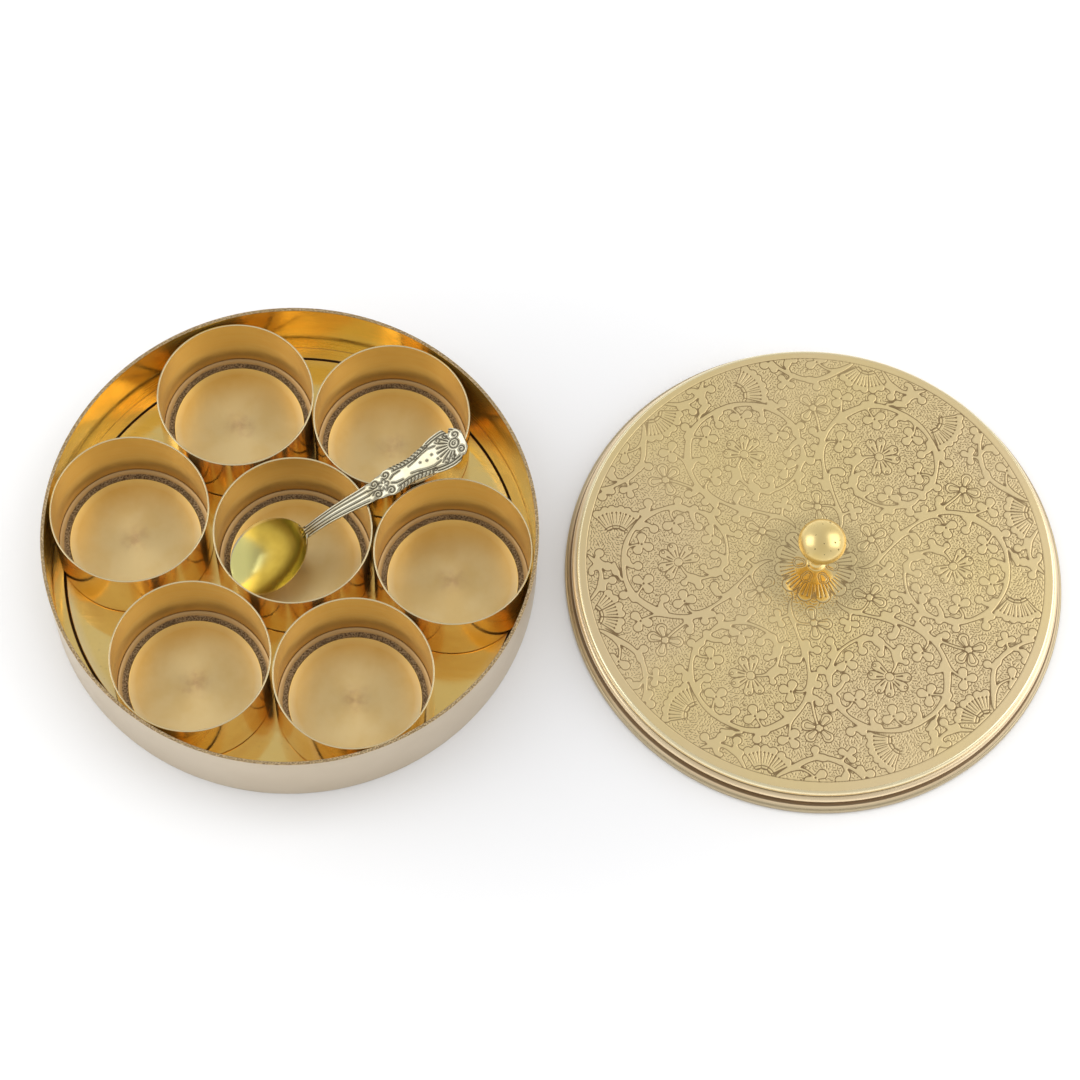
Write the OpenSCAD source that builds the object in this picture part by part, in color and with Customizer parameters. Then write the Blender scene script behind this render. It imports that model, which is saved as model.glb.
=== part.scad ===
// Round brass spice box: an open case with seven loose cups, a small spoon
// leaning in the middle cup, and an engraved lid lying beside the case.
// Origin: centre of the case's underside. +Z up, +X towards the lid.

/* [Case] */
// Outside diameter of the case
case_d = 224; // [224:0.5:228]
// Height of the case
case_h = 40; // [39:0.5:60]
// Sheet thickness of the case wall and floor
case_t = 1.2; // [1:0.1:1.3]
// Leg of the solder fillet inside the case's bottom corner
case_solder = 0.4; // [0.2:0.1:0.4]

/* [Cups] */
// Outside diameter of a cup
cup_d = 72; // [70:0.5:72]
// Height of a cup
cup_h = 35.8; // [30:0.1:35.8]
// Sheet thickness of a cup
cup_t = 0.8; // [0.6:0.1:0.9]
// Diameter of the raised disc in a cup's floor
cup_disc_d = 60.6; // [50:0.2:64]
// Height of the raised disc above the cup's floor sheet
cup_disc_rise = 0.6; // [0.3:0.1:1]
// Distance from the case's centre to the centre of an outer cup
cup_ring_r = 73.8; // [73.8:0.1:74]

/* [Lid] */
// Diameter of the engraved plate
plate_d = 220.8; // [218:0.2:222]
// Thickness of the engraved plate
plate_t = 1; // [0.8:0.1:1.4]
// Outside diameter of the lid's lower flange
flange_d = 230.2; // [230:0.2:232]
// Height of the closed lid, without its knob
lid_h = 13.7; // [13.5:0.1:16]
// Sideways place of the lid's centre
lid_x = 239.8; // [236:0.2:300]
// Place of the lid's centre from front to back
lid_y = 13.6; // [-20:0.1:20]

/* [Knob] */
// Width of the knob's flattened ball
ball_d = 21.8; // [16:0.2:26]
// Height of the flattened ball
ball_h = 15; // [11:0.5:20]
// Height of the ball's centre above the plate
ball_rise = 24.6; // [22:0.2:30]
// How far the hand-drilled knob hole sits behind the plate's centre
knob_back = 1.4; // [0:0.1:2]
// Radius of the knob's stem at its waist
stem_r = 2.1; // [1.9:0.1:3]
// Radius of the screw under the knob
screw_r = 1.45; // [1.2:0.05:1.45]

/* [Spoon] */
// Width of the spoon's bowl
bowl_w = 34; // [28:0.5:35]
// Length of the spoon's bowl, seen from above
bowl_l = 38.6; // [32:0.2:39]
// Depth of the spoon's bowl
bowl_depth = 6.6; // [4:0.2:7]
// Direction in which the handle points
spoon_turn = 27.6; // [26:0.2:29]
// Greatest thickness of the handle
handle_t = 2.2; // [1.6:0.1:2.4]

/* [Hidden] */
$fn = 180;

case_r = case_d / 2;
case_in_r = case_r - case_t;
cup_r = cup_d / 2;
cup_in_r = cup_r - cup_t;
cup_disc_r = cup_disc_d / 2;
seam_t = 0.3;
edge_r = 0.25;

// Cup 1 stands in the middle, and cups 2 to 7 go round it from the lid's side.
middle_cup = [0.8, 1.2];
ring_turns = [-2.3, 57.1, 116, 176, 238.8, 298];
cup_places = concat([middle_cup], [for (a = ring_turns) cup_ring_r * [cos(a), sin(a)]]);

plate_r = plate_d / 2;
flange_r = flange_d / 2;
hook_r = case_r + 0.8;
lip_h = 3.5;
shoulder_r = 1.4;
plate_under = lid_h - plate_t;
washer_t = 0.8;
washer_r = 5;
screw_head_r = 3.2;
screw_head_h = 1.8;
screw_depth = 8;
hole_gap = 0.25;

// An arc as a list of points: centre, radius, start and end angle, steps.
function arc(c, r, a, b, n = 8) =
  [for (i = [0:n]) c + r * [cos(a + (b - a) * i / n), sin(a + (b - a) * i / n)]];

module ring(outline) {
  rotate_extrude() polygon(outline);
}

// Case

module case_wall() {
  color([0.86, 0.70, 0.42]) ring(concat(
    [[case_in_r, 0], [case_r - 1, 0]],
    arc([case_r - 1, 1], 1, -90, 0),
    arc([case_r - edge_r, case_h - edge_r], edge_r, 0, 90, 4),
    arc([case_in_r + edge_r, case_h - edge_r], edge_r, 90, 180, 4)));
}

module case_floor() {
  color([0.88, 0.66, 0.28]) cylinder(r = case_in_r, h = case_t);
}

module case_solder_ring() {
  color([0.45, 0.36, 0.24]) ring([
    [case_in_r - case_solder, case_t],
    [case_in_r, case_t],
    [case_in_r, case_t + case_solder]]);
}

// Cups

module at_cup(i) {
  translate([cup_places[i - 1][0], cup_places[i - 1][1], case_t]) children();
}

module cup_wall(i) {
  color([0.80, 0.68, 0.44]) at_cup(i) ring(concat(
    [[cup_in_r, 0]],
    arc([cup_r - 0.6, 0.6], 0.6, -90, 0, 5),
    arc([cup_r - edge_r, cup_h - edge_r], edge_r, 0, 90, 4),
    arc([cup_in_r + edge_r, cup_h - edge_r], edge_r, 90, 180, 4)));
}

module cup_floor(i) {
  color([0.82, 0.72, 0.50]) at_cup(i) ring([
    [0, 0],
    [cup_in_r, 0],
    [cup_in_r, cup_t],
    [cup_disc_r, cup_t],
    [cup_disc_r, cup_t + cup_disc_rise - 0.2],
    [cup_disc_r - 0.2, cup_t + cup_disc_rise],
    [0, cup_t + cup_disc_rise]]);
}

// The solder between a cup's wall and its raised disc climbs the wall a little.
module cup_seam(i) {
  color([0.42, 0.37, 0.30]) at_cup(i) ring([
    [cup_disc_r, cup_t],
    [cup_in_r, cup_t],
    [cup_in_r, cup_t + 1],
    [cup_in_r - 0.9, cup_t + seam_t + 0.1],
    [cup_disc_r, cup_t + seam_t]]);
}

// Lid

module at_lid(z = 0) {
  translate([lid_x, lid_y, z]) children();
}

module at_knob(z = 0) {
  translate([lid_x, lid_y + knob_back, z]) children();
}

// The plate's edge turns over a round shoulder into a short straight lip.
module lid_plate() {
  lip_z = lid_h - lip_h;
  color([0.83, 0.73, 0.50]) difference() {
    at_lid() ring(concat(
      [[0, plate_under], [plate_r - plate_t - 0.6, plate_under]],
      [[plate_r - plate_t, plate_under - 0.6], [plate_r - plate_t, lip_z], [plate_r, lip_z]],
      arc([plate_r - shoulder_r, lid_h - shoulder_r], shoulder_r, 0, 90),
      [[0, lid_h]]));
    at_knob(plate_under - 1) cylinder(r = screw_r + hole_gap, h = plate_t + 2);
  }
}

// The band below the lip: a groove, a half-round bead, a second groove and a
// stepped flange whose hollow slides over the case's rim.
module lid_band() {
  top = lid_h - lip_h;
  bead = [plate_r + 0.2, top - 2.2];
  color([0.80, 0.66, 0.42]) at_lid() ring(concat(
    [[plate_r - plate_t, top], [plate_r - 0.2, top], [plate_r - 0.5, top - 0.4]],
    arc(bead, 1.7, 90, -60),
    [[plate_r + 0.8, 5.4], [plate_r + 0.8, 4.9], [hook_r - 0.1, 4.7]],
    arc([hook_r - 0.1, 4.2], 0.5, 90, 0, 4),
    [[flange_r - 0.9, 3.1]],
    arc([flange_r - 0.9, 2.2], 0.9, 90, 0, 5),
    arc([flange_r - 0.7, 0.7], 0.7, 0, -90, 5),
    [[hook_r + 0.4, 0], [hook_r, 0.4], [hook_r, 3.4], [case_in_r, 3.9]],
    [[case_in_r - 0.6, 4.6], [case_in_r - 0.6, 6], [plate_r - 0.4, 7], [plate_r - 0.4, 8.6]],
    [[plate_r - plate_t, 9.3]]));
}

module lid_solder_ring() {
  color([0.45, 0.36, 0.24]) at_lid() ring([
    [plate_r - plate_t - 1, lid_h - lip_h],
    [plate_r - plate_t, lid_h - lip_h - 0.8],
    [plate_r - plate_t, lid_h - lip_h + 0.8]]);
}

// Knob

module knob() {
  bottom = ball_rise - ball_h / 2;
  a = ball_d / 2;
  b = ball_h / 2;
  neck_turn = acos((stem_r + 0.7) / a);
  color([0.92, 0.80, 0.45]) at_knob(lid_h) ring(concat(
    [[screw_r + 0.05, 0], [4.2, 0]],
    arc([4, 0.5], 0.5, -60, 90, 5),
    [[3, 1.2], [stem_r + 0.1, 2.2], [stem_r, 4.6]],
    arc([stem_r + 0.1, 5.6], 0.7, -80, 80, 6),
    [[stem_r, 6.8], [stem_r - 0.1, 9], [stem_r + 0.1, bottom - 3]],
    arc([stem_r + 0.4, bottom - 1.6], 0.8, -80, 80, 6),
    [for (i = [0:24]) let (t = -neck_turn + (90 + neck_turn) * i / 24)
      [a * cos(t), ball_rise + b * sin(t)]],
    [[0, screw_depth], [screw_r + 0.05, screw_depth]]));
}

module knob_washer() {
  color([0.78, 0.66, 0.40]) at_knob(plate_under - washer_t) difference() {
    cylinder(r = washer_r, h = washer_t);
    translate([0, 0, -1]) cylinder(r = screw_r + hole_gap, h = washer_t + 2);
  }
}

module knob_screw() {
  head_z = plate_under - washer_t - screw_head_h;
  color([0.70, 0.68, 0.62]) at_knob(head_z) difference() {
    union() {
      ring(concat([[0, 0]], arc([screw_head_r - 0.8, 0.8], 0.8, -90, 0, 5),
        [[screw_head_r, screw_head_h], [0, screw_head_h]]));
      cylinder(r = screw_r, h = screw_head_h + washer_t + plate_t + screw_depth - 1);
    }
    translate([-screw_head_r - 1, -0.4, -1]) cube([2 * screw_head_r + 2, 0.8, 1.9]);
  }
}

// Spoon: one shell whose middle line rises from the tip of the bowl to the end
// of the handle. Stations are distances from the bowl's centre, seen from above.

bowl_centre = [-10.6, -2.6];
tip = -bowl_l / 2;
handle_end = 98;
rise_points = [[-30, -1.7], [0, 14], [18.5, 23.4], [24.5, 28], [31, 32], [38, 35.2], [47, 38.5],
  [60, 43.4], [68, 46.8], [89, 57], [98, 61], [110, 66]];
width_points = [[16, 2.9], [22, 2.5], [30, 2.7], [40, 3.1], [47, 3.3], [52, 4.2], [56, 5.6],
  [60, 6.5], [64, 6.4], [68, 5.9], [72, 6], [78, 7.3], [84, 8.8], [89, 9.3], [93, 8.6],
  [96, 6.5], [98, 3.5]];
across = 10;

function soft(s) = (lookup(s - 3, rise_points) + lookup(s, rise_points)
  + lookup(s + 3, rise_points)) / 3;
function slope(s) = atan2(soft(s + 0.5) - soft(s - 0.5), 1);
function in_bowl(s) = max(0, 1 - pow(s / tip, 2));
function half_width(s) = max(0.8, bowl_w / 2 * sqrt(in_bowl(s)) * (1 - 0.004 * s),
  s < 16 ? 0 : lookup(s, width_points));
function hollow(s) = bowl_depth * pow(in_bowl(s), 0.8);
function thickness(s) = s < 12 ? 1 : s < 22 ? 1 + (handle_t - 1) * (s - 12) / 10 : handle_t;

// A point of the shell: v runs from -1 to 1 across it, side is 1 on top, -1 below.
function shell_point(s, v, side) =
  let (a = slope(s),
    h = -hollow(s) * (1 - v * v) + side * thickness(s) / 2 * (0.35 + 0.65 * sqrt(1 - v * v)),
    w = half_width(s) * v,
    f = s - h * sin(a))
  [bowl_centre[0] + f * cos(spoon_turn) - w * sin(spoon_turn),
   bowl_centre[1] + f * sin(spoon_turn) + w * cos(spoon_turn),
   soft(s) + h * cos(a)];

stations = concat(
  [for (t = [6:8:150]) tip * cos(t)],
  [for (s = [17.5:2:96]) s],
  [97, handle_end]);
span = 2 * (across + 1);
shell_points = [for (s = stations, side = [-1, 1], k = [0:across])
  shell_point(s, side * cos(180 * k / across), side)];

module spoon() {
  last = len(stations) - 1;
  sides = [for (i = [0:last - 1], k = [0:span - 1]) let (n = (k + 1) % span)
    [i * span + k, i * span + n, (i + 1) * span + n, (i + 1) * span + k]];
  first_cap = [for (k = [span - 1:-1:0]) k];
  last_cap = [for (k = [0:span - 1]) last * span + k];
  color([0.80, 0.79, 0.74])
    polyhedron(points = shell_points, faces = concat(sides, [first_cap], [last_cap]), convexity = 6);
}

case_wall();
case_floor();
case_solder_ring();
cup_wall(1);  // cup_1_wall
cup_floor(1);  // cup_1_floor
cup_seam(1);  // cup_1_seam
cup_wall(2);  // cup_2_wall
cup_floor(2);  // cup_2_floor
cup_seam(2);  // cup_2_seam
cup_wall(3);  // cup_3_wall
cup_floor(3);  // cup_3_floor
cup_seam(3);  // cup_3_seam
cup_wall(4);  // cup_4_wall
cup_floor(4);  // cup_4_floor
cup_seam(4);  // cup_4_seam
cup_wall(5);  // cup_5_wall
cup_floor(5);  // cup_5_floor
cup_seam(5);  // cup_5_seam
cup_wall(6);  // cup_6_wall
cup_floor(6);  // cup_6_floor
cup_seam(6);  // cup_6_seam
cup_wall(7);  // cup_7_wall
cup_floor(7);  // cup_7_floor
cup_seam(7);  // cup_7_seam
spoon();
lid_plate();
lid_band();
lid_solder_ring();
knob();
knob_washer();
knob_screw();
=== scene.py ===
import math

import bpy
import numpy as np
from mathutils import Matrix, Vector


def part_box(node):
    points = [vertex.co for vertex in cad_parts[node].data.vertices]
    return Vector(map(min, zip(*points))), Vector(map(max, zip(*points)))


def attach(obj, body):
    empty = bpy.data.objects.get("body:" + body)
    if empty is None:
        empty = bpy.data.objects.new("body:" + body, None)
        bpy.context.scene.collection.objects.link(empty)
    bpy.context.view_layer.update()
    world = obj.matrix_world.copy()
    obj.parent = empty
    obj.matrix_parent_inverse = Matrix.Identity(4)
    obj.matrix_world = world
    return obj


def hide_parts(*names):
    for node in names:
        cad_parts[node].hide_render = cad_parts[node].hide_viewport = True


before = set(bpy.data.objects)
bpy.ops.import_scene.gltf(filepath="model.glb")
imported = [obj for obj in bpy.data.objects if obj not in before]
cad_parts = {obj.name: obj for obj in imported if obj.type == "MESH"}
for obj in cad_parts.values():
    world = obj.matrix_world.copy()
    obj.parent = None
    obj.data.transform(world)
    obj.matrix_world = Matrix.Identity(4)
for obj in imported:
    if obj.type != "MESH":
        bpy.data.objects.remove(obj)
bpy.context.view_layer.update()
mm = 0.001


def extent(node):  # a node's middle, its radius, and its lowest and highest level, in millimetres
    low, high = (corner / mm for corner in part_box(node))
    return (low + high) / 2, (high.x - low.x) / 2, low.z, high.z


view = {
    "place": (112.4, -552.5, 1336.5),  # millimetres
    "down": 66.76,  # degrees below the horizon, looking along +Y
    "roll": 4.48,
    "lens": 104.385,
}


def addCamera():
    down, roll = math.radians(view["down"]), math.radians(view["roll"])
    forward = Vector((0, math.cos(down), -math.sin(down)))
    right = Vector((1, 0, 0))
    up = right.cross(forward)
    across = math.cos(roll) * right + math.sin(roll) * up
    upright = -math.sin(roll) * right + math.cos(roll) * up
    camera = bpy.data.objects.new("camera", bpy.data.cameras.new("camera"))
    camera.data.lens = view["lens"]
    camera.data.sensor_width = 36
    camera.data.clip_end = 20
    turn = Matrix((across, upright, -forward)).transposed().to_4x4()
    camera.matrix_world = Matrix.Translation(Vector(view["place"]) * mm) @ turn
    bpy.context.scene.collection.objects.link(camera)
    bpy.context.scene.camera = camera


light = {
    "aim": (0.12, 0, 0),  # metres
    "overhead": 0.58,  # how bright the room is straight up
    "horizon": 0.78,
    "lamps": [  # name, place, size in metres, power in watts, seen in polished metal or not
        ("left_softbox", (-1.8, 0.2, 1.9), 1.7, 13, True),
        ("right_softbox", (2.0, 0.5, 1.8), 2.1, 18, True),
        ("ceiling_fill", (0.1, 0.0, 2.6), 2.6, 27, False),
    ],
}


def addLight():
    for name, place, size, power, seen in light["lamps"]:
        lamp = bpy.data.lights.new(name, "AREA")
        lamp.size = size
        lamp.energy = power
        holder = bpy.data.objects.new(name, lamp)
        holder.location = place
        holder.rotation_euler = (Vector(light["aim"]) - Vector(place)).to_track_quat("-Z", "Y").to_euler()
        holder.visible_glossy = seen
        bpy.context.scene.collection.objects.link(holder)
    world = bpy.data.worlds.new("studio")
    world.use_nodes = True
    bpy.context.scene.world = world
    nodes, links = world.node_tree.nodes, world.node_tree.links
    where = nodes.new("ShaderNodeTexCoord")
    split = nodes.new("ShaderNodeSeparateXYZ")
    ramp = nodes.new("ShaderNodeValToRGB")
    low, high = light["horizon"], light["overhead"]
    ramp.color_ramp.elements[0].position, ramp.color_ramp.elements[0].color = 0.2, (low, low, low, 1)
    ramp.color_ramp.elements[1].position, ramp.color_ramp.elements[1].color = 0.95, (high, high, high, 1)
    links.new(where.outputs["Generated"], split.inputs[0])
    links.new(split.outputs["Z"], ramp.inputs[0])
    links.new(ramp.outputs["Color"], nodes["Background"].inputs["Color"])


def addPiece(name, points, faceSets, body, material, stands, marks=None, flatFrom=None):
    # points in millimetres as rows of three; faceSets are arrays of point numbers, one row a face.
    # marks are values kept per point, and faces from number flatFrom on are shaded flat
    corners = np.concatenate([faces.ravel() for faces in faceSets]).astype(np.int32)
    counts = np.concatenate([np.full(len(faces), faces.shape[1]) for faces in faceSets])
    starts = np.concatenate([[0], np.cumsum(counts)[:-1]]).astype(np.int32)
    mesh = bpy.data.meshes.new(name)
    mesh.vertices.add(len(points))
    mesh.vertices.foreach_set("co", (np.asarray(points) * mm).astype(np.float32).ravel())
    mesh.loops.add(len(corners))
    mesh.loops.foreach_set("vertex_index", corners)
    mesh.polygons.add(len(counts))
    mesh.polygons.foreach_set("loop_start", starts)
    smooth = np.ones(len(counts), bool)
    if flatFrom is not None:
        smooth[flatFrom:] = False
    mesh.polygons.foreach_set("use_smooth", smooth)
    mesh.update(calc_edges=True)
    if flatFrom is not None:  # sharp edges keep the flat sides out of the smooth faces' shading
        edges = np.empty(len(corners), np.int32)
        mesh.loops.foreach_get("edge_index", edges)
        sharp = np.zeros(len(mesh.edges), bool)
        sharp[edges[starts[flatFrom]:]] = True
        mesh.edges.foreach_set("use_edge_sharp", sharp)
    mesh.validate()
    for mark, values in (marks or {}).items():
        layer = mesh.attributes.new(mark, "FLOAT", "POINT")
        layer.data.foreach_set("value", np.asarray(values, np.float32).ravel())
    mesh.materials.append(material)
    piece = bpy.data.objects.new(name, mesh)
    bpy.context.scene.collection.objects.link(piece)
    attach(piece, body)
    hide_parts(*stands)
    return piece


def gridFaces(rows, columns, closeRows=False, closeColumns=False):
    # four-sided faces between neighbouring rows and columns of a grid of points
    i = np.arange(rows if closeRows else rows - 1)[:, None]
    j = np.arange(columns if closeColumns else columns - 1)[None, :]
    nextRow, nextColumn = (i + 1) % rows, (j + 1) % columns
    here, above = i * columns, nextRow * columns
    square = [here + j, here + nextColumn, above + nextColumn, above + j]
    return np.stack(np.broadcast_arrays(*square), -1).reshape(-1, 4)


def arc(middle, radius, start, end, steps=8):
    # points at equal turns round the middle, from the start angle to the end angle in degrees
    turn = np.radians(np.linspace(start, end, steps + 1))
    return np.stack([middle[0] + radius * np.cos(turn), middle[1] + radius * np.sin(turn)], -1)


def outlineOf(*parts, step=3.0, hold=0.12):
    # joins points and arcs, and divides each long straight stretch, with points close to its ends
    # so that smooth shading keeps the flats flat
    points = np.concatenate([np.atleast_2d(np.asarray(part, float)) for part in parts])
    out = [points[0]]
    for a, b in zip(points[:-1], points[1:]):
        length = np.hypot(*(b - a))
        if length > 4 * hold:
            marks = np.linspace(hold, length - hold, max(2, int(length / step) + 1))
            out.extend(a + (b - a) * (mark / length) for mark in marks)
        out.append(b)
    return np.array(out)


def turned(name, outline, centre, steps, body, material, stands, closed=True, wave=None, marks=None):
    # carries an outline of (radius, height) round an upright axis: a point is the centre plus
    # radius * (cos turn, sin turn) and its height. An outline that isn't closed starts and ends on the axis.
    # wave(radius, height, turn) gives the changed radius and height, marks the values kept per point
    turn = np.linspace(0, 2 * np.pi, steps, endpoint=False)[None, :]
    ringOutline = outline if closed else outline[1:-1]
    radius = np.repeat(ringOutline[:, :1], steps, 1)
    height = np.repeat(ringOutline[:, 1:], steps, 1)
    plainRadius, plainHeight = radius, height
    if wave:
        radius, height = wave(radius, height, turn)
    points = np.stack([centre[0] + radius * np.cos(turn), centre[1] + radius * np.sin(turn), height], -1)
    points = points.reshape(-1, 3)
    rows = len(ringOutline)
    faceSets = [gridFaces(rows, steps, closed, True)]
    kept = {}
    for key, rule in (marks or {}).items():
        kept[key] = rule(plainRadius, plainHeight, turn + 0 * plainRadius).ravel()
    if not closed:
        j = np.arange(steps)
        first, last = len(points), len(points) + 1
        ends = [[centre[0], centre[1], outline[0][1]], [centre[0], centre[1], outline[-1][1]]]
        points = np.concatenate([points, ends])
        faceSets.append(np.stack([np.full(steps, first), (j + 1) % steps, j], -1))
        top = (rows - 1) * steps
        faceSets.append(np.stack([np.full(steps, last), top + j, top + (j + 1) % steps], -1))
        kept = {key: np.append(values, [values[0], values[-1]]) for key, values in kept.items()}
    return addPiece(name, points, faceSets, body, material, stands, kept)


def ripple(turn, seed, waves, strength):
    # an uneven edge: a sum of sines round the turn with seeded phases, each weaker as it gets finer
    draw = np.random.default_rng(seed)
    total = 0 * turn
    for count in waves:
        height, phase = draw.uniform(0.5, 1), draw.uniform(0, 2 * np.pi)
        total = total + height * np.sin(count * turn + phase) / math.sqrt(count)
    return strength * total


def ease(value, low, high):  # 0 below low, 1 above high, and smooth between
    t = np.clip((value - low) / (high - low), 0, 1)
    return t * t * (3 - 2 * t)


class Wire:  # a socket whose arithmetic adds Math nodes to its own tree
    def __init__(self, socket):
        self.socket = socket

    def maths(self, operation, *values):
        tree = self.socket.id_data
        step = tree.nodes.new("ShaderNodeMath")
        step.operation = operation
        for place, value in zip(step.inputs, values):
            feed(place, value)
        return Wire(step.outputs[0])

    def __add__(self, other):
        return self.maths("ADD", self, other)

    def __sub__(self, other):
        return self.maths("SUBTRACT", self, other)

    def __rsub__(self, other):
        return self.maths("SUBTRACT", other, self)

    def __mul__(self, other):
        return self.maths("MULTIPLY", self, other)

    def __truediv__(self, other):
        return self.maths("DIVIDE", self, other)

    def __pow__(self, other):
        return self.maths("POWER", self, other)

    __radd__ = __add__
    __rmul__ = __mul__


def feed(place, value):  # links a wire to a socket, or sets the socket's own value
    if isinstance(value, Wire):
        value.socket.id_data.links.new(value.socket, place)
    else:
        place.default_value = value


class Finish:  # one material, built round a Principled shader
    def __init__(self, name, rough, metal=1.0, **constants):
        self.material = bpy.data.materials.new(name)
        self.material.use_nodes = True
        self.tree = self.material.node_tree
        self.shader = self.tree.nodes["Principled BSDF"]
        self.set(Metallic=metal, Roughness=rough)
        for key, value in constants.items():
            self.shader.inputs[key.replace("_", " ")].default_value = value
        self.place = self.node("ShaderNodeTexCoord", {}, {}, "Object")

    def set(self, **values):
        for key, value in values.items():
            feed(self.shader.inputs[key.replace("_", " ")], value)

    def node(self, kind, settings, inputs, output=0):
        step = self.tree.nodes.new(kind)
        for key, value in settings.items():
            setattr(step, key, value)
        for key, value in inputs.items():
            feed(step.inputs[key], value)
        return Wire(step.outputs[output])

    def mark(self, name):  # a value kept on the mesh
        return self.node("ShaderNodeAttribute", {"attribute_name": name}, {}, "Fac")

    def around(self, centre, stretch=(1, 1, 1), turn=(0, 0, 0)):  # the place, centred and stretched
        shifted = self.node("ShaderNodeVectorMath", {"operation": "SUBTRACT"}, {0: self.place, 1: centre})
        return self.node("ShaderNodeMapping", {}, {"Vector": shifted, "Rotation": turn, "Scale": stretch})

    def noise(self, scale, detail=3.0, place=None, rough=0.55):
        inputs = {"Vector": place or self.place, "Scale": scale, "Detail": detail, "Roughness": rough}
        return self.node("ShaderNodeTexNoise", {}, inputs, "Fac")

    def between(self, value, low, high, start=0.0, end=1.0):  # carries low..high to start..end, clamped
        inputs = {"Value": value, "From Min": low, "From Max": high, "To Min": start, "To Max": end}
        return self.node("ShaderNodeMapRange", {"interpolation_type": "SMOOTHSTEP"}, inputs)

    def blend(self, share, first, second):  # a mix of two colours
        inputs = {0: share, 6: first, 7: second}
        for key in (6, 7):
            if not isinstance(inputs[key], Wire):
                inputs[key] = (*inputs[key], 1)
        return self.node("ShaderNodeMix", {"data_type": "RGBA"}, inputs, 2)

    def clouded(self, cloud, low, high, name):  # a pair of tones, blended as the noise goes from low to high
        return self.blend(self.between(cloud, low, high), *tones[name])

    def bump(self, height, strength, depth):  # depth in millimetres
        inputs = {"Height": height, "Strength": strength, "Distance": depth * mm}
        return self.node("ShaderNodeBump", {}, inputs)


# the finishes' colours, all linear, as pairs that a cloud of noise blends between
tones = {
    "caseOutside": ((0.67, 0.575, 0.44), (0.64, 0.545, 0.41)),
    "caseInside": ((0.99, 0.71, 0.15), (0.93, 0.59, 0.10)),
    "cutRim": ((0.30, 0.20, 0.10), (0.72, 0.55, 0.31)),
    "caseFloor": ((0.95, 0.71, 0.26), (0.90, 0.63, 0.19)),
    "cupInside": ((0.95, 0.685, 0.25), (0.92, 0.645, 0.225)),
    "cupOutside": ((0.95, 0.70, 0.29), (0.88, 0.58, 0.19)),
    "cupFloor": ((0.87, 0.66, 0.32), (0.82, 0.59, 0.255)),
    "braze": ((0.84, 0.58, 0.22), (0.60, 0.36, 0.12)),
    "solder": ((0.10, 0.07, 0.045), (0.42, 0.32, 0.21)),
    "plate": ((0.91, 0.725, 0.36), (0.88, 0.70, 0.405)),
    # the plate's rounded shoulder: pale tones that are a painted highlight
    "plateEdgeHighlight": ((0.99, 0.88, 0.58), (0.95, 0.80, 0.50)),
    "bead": ((0.94, 0.76, 0.50), (0.88, 0.69, 0.44)),
    "knob": ((0.93, 0.725, 0.325), (0.89, 0.67, 0.26)),
    "washer": ((0.80, 0.66, 0.38), (0.52, 0.38, 0.18)),
    "screw": ((0.62, 0.60, 0.56), (0.34, 0.32, 0.30)),
    "silver": ((0.62, 0.58, 0.44), (0.54, 0.49, 0.34)),
    "gilt": ((0.44, 0.43, 0.19), (0.39, 0.37, 0.15)),
}


def sides(finish, centre):  # distance from an upright axis and height, in millimetres
    parts = finish.tree.nodes.new("ShaderNodeSeparateXYZ")
    feed(parts.inputs[0], finish.around(centre))
    x, y, z = (Wire(socket) for socket in parts.outputs)
    return (x * x + y * y) ** 0.5 / mm, z / mm


def caseWallFinish():  # pinkish satin outside, polished gold inside, and a gritty cut rim
    f = Finish("case_wall_brass", 0.4)
    inside, rim = f.mark("inside"), f.mark("rim")
    spun = f.noise(60, 4, f.around((0, 0, 0), (1, 1, 16)))  # spinning lines round the wall
    cloud = f.noise(22, 3)
    scratch = f.noise(420, 2, f.around((0, 0, 0), (1, 1, 0.12), (0.5, 0.2, 0)), 0.7)
    outer = f.clouded(cloud, 0.35, 0.7, "caseOutside")
    inner = f.clouded(cloud, 0.4, 0.75, "caseInside")
    cut = f.clouded(f.noise(1500, 2), 0.42, 0.62, "cutRim")
    f.set(Base_Color=f.blend(rim, f.blend(inside, outer, inner), cut), Metallic=1 - 0.14 * inside)
    _, height = sides(f, (0, 0, 0))
    dull = f.between(height, 4.0, 15.0, 0.10, 0)  # less polish near the floor
    satin = 0.30 + 0.14 * cloud
    polish = 0.085 + 0.14 * f.between(spun, 0.4, 0.75) + 0.05 * scratch + dull
    f.set(Roughness=satin * (1 - inside) + polish * inside + rim * 0.2)
    f.set(Normal=f.bump(spun * 0.7 + scratch * 0.3, 0.22 + 0.2 * inside, 0.06))
    return f.material


def caseFloorFinish():  # polished with long strokes, spotted, black in the groove, and a painted highlight on the disc's rounded edge
    f = Finish("case_floor_brass", 0.08, metal=0.87)
    groove, lip = f.mark("groove"), f.mark("lip")
    cloud = f.noise(18, 3)
    strokes = f.noise(260, 3, f.around((0, 0, 0), (0.06, 1, 1), (0, 0, 0.6)), 0.65)
    spots = f.between(f.noise(900, 2), 0.68, 0.74)
    spotted = f.blend(spots * 0.6, f.clouded(cloud, 0.35, 0.7, "caseFloor"), (0.24, 0.16, 0.085))
    # lip: a pale cream painted highlight along the disc's rounded edge
    f.set(Base_Color=f.blend(groove, f.blend(lip, spotted, (0.95, 0.84, 0.58)), (0.055, 0.028, 0.012)))
    rough = 0.05 + 0.10 * f.between(strokes, 0.4, 0.75) + 0.06 * cloud
    f.set(Roughness=rough + 0.5 * groove + 0.15 * lip)
    f.set(Normal=f.bump(strokes, 0.22, 0.04))
    return f.material


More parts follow.
